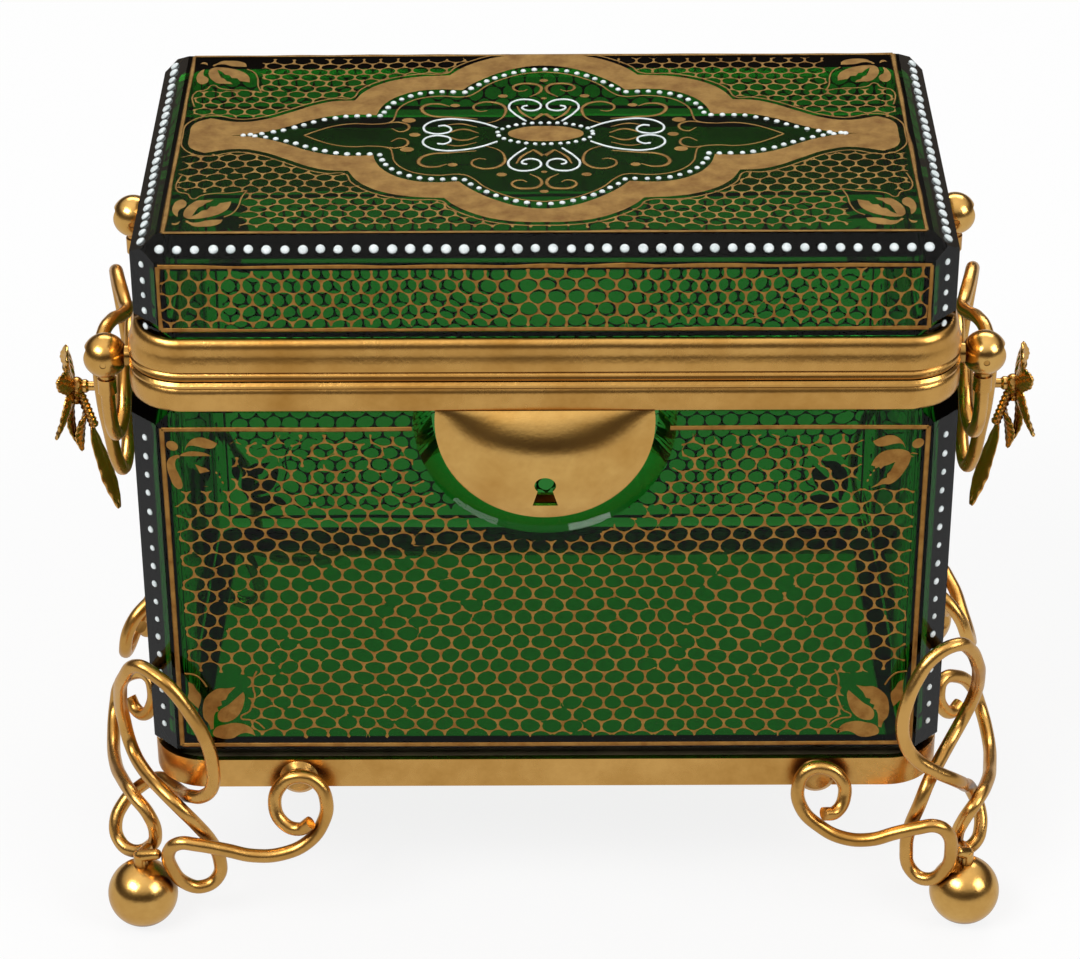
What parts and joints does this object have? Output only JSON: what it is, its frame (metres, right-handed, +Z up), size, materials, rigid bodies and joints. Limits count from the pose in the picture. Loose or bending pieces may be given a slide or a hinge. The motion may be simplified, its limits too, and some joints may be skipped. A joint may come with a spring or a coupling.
{
  "type": "hinged glass casket with metal mounts",
  "caption": "Small bevelled glass casket with a hinged glass lid, gilt collars, a half-moon lock, swinging wire handles with leaf sprays, and scrolled wire feet on balls.",
  "frame": {"origin": "under the middle of the casket, at the height of the table it stands on", "axes": "+Z up, -Y out of the front where the keyhole is, +X to the right as seen from the front"},
  "size_m": [0.1632, 0.094, 0.1256],
  "materials": {
    "green_glass": "clear polished green glass with ground bevels",
    "gilt_brass": "satin gilding, toned in the recesses",
    "polished_brass": "polished gilding",
    "plaster": "matt off-white setting cement",
    "spring_steel": "plain"
  },
  "bodies": {
    "casket": {"body_glass": "green_glass", "body_collar": "gilt_brass", "body_cement": "plaster", "base_band": "gilt_brass", "base_cement": "plaster", "foot_wire_front_left": "gilt_brass", "foot_wire_front_right": "gilt_brass", "foot_wire_back_left": "gilt_brass", "foot_wire_back_right": "gilt_brass", "foot_ball_front_left": "polished_brass", "foot_ball_front_right": "polished_brass", "foot_ball_back_left": "polished_brass", "foot_ball_back_right": "polished_brass", "scroll_pads": "gilt_brass", "handle_lugs_left": "polished_brass", "handle_lugs_right": "polished_brass", "handle_pins": "gilt_brass", "hinge_leaf_body": "gilt_brass", "hinge_pin": "polished_brass", "lock_cover": "polished_brass", "lock_backplate": "gilt_brass", "lock_spring": "spring_steel", "lock_pillars": "gilt_brass", "bolt_guides": "gilt_brass"},
    "lid": {"lid_glass": "green_glass", "lid_collar": "gilt_brass", "lid_cement": "plaster", "hinge_leaf_lid": "gilt_brass", "lid_catch": "polished_brass"},
    "handle_left": {"handle_wire_left": "gilt_brass", "handle_sleeves_left": "gilt_brass", "handle_clasp_left": "gilt_brass", "leaf_spray_left": "polished_brass"},
    "handle_right": {"handle_wire_right": "gilt_brass", "handle_sleeves_right": "gilt_brass", "handle_clasp_right": "gilt_brass", "leaf_spray_right": "polished_brass"},
    "bolt": {"lock_bolt": "polished_brass"}
  },
  "joints": [
    {"name": "lid_hinge", "type": "hinge", "parent": "casket", "child": "lid", "pos_m": [0, 0.0397, 0.1022], "axis": [-1, 0, 0], "range_deg": [0, 95]},
    {"name": "handle_left_swing", "type": "hinge", "parent": "casket", "child": "handle_left", "pos_m": [-0.0698, 0, 0.09965], "axis": [0, 1, 0], "range_deg": [0, 90]},
    {"name": "handle_right_swing", "type": "hinge", "parent": "casket", "child": "handle_right", "pos_m": [0.0698, 0, 0.09965], "axis": [0, -1, 0], "range_deg": [0, 90]},
    {"name": "bolt_slide", "type": "slide", "parent": "casket", "child": "bolt", "axis": [-1, 0, 0], "range_m": [0, 0.0026]}
  ]
}
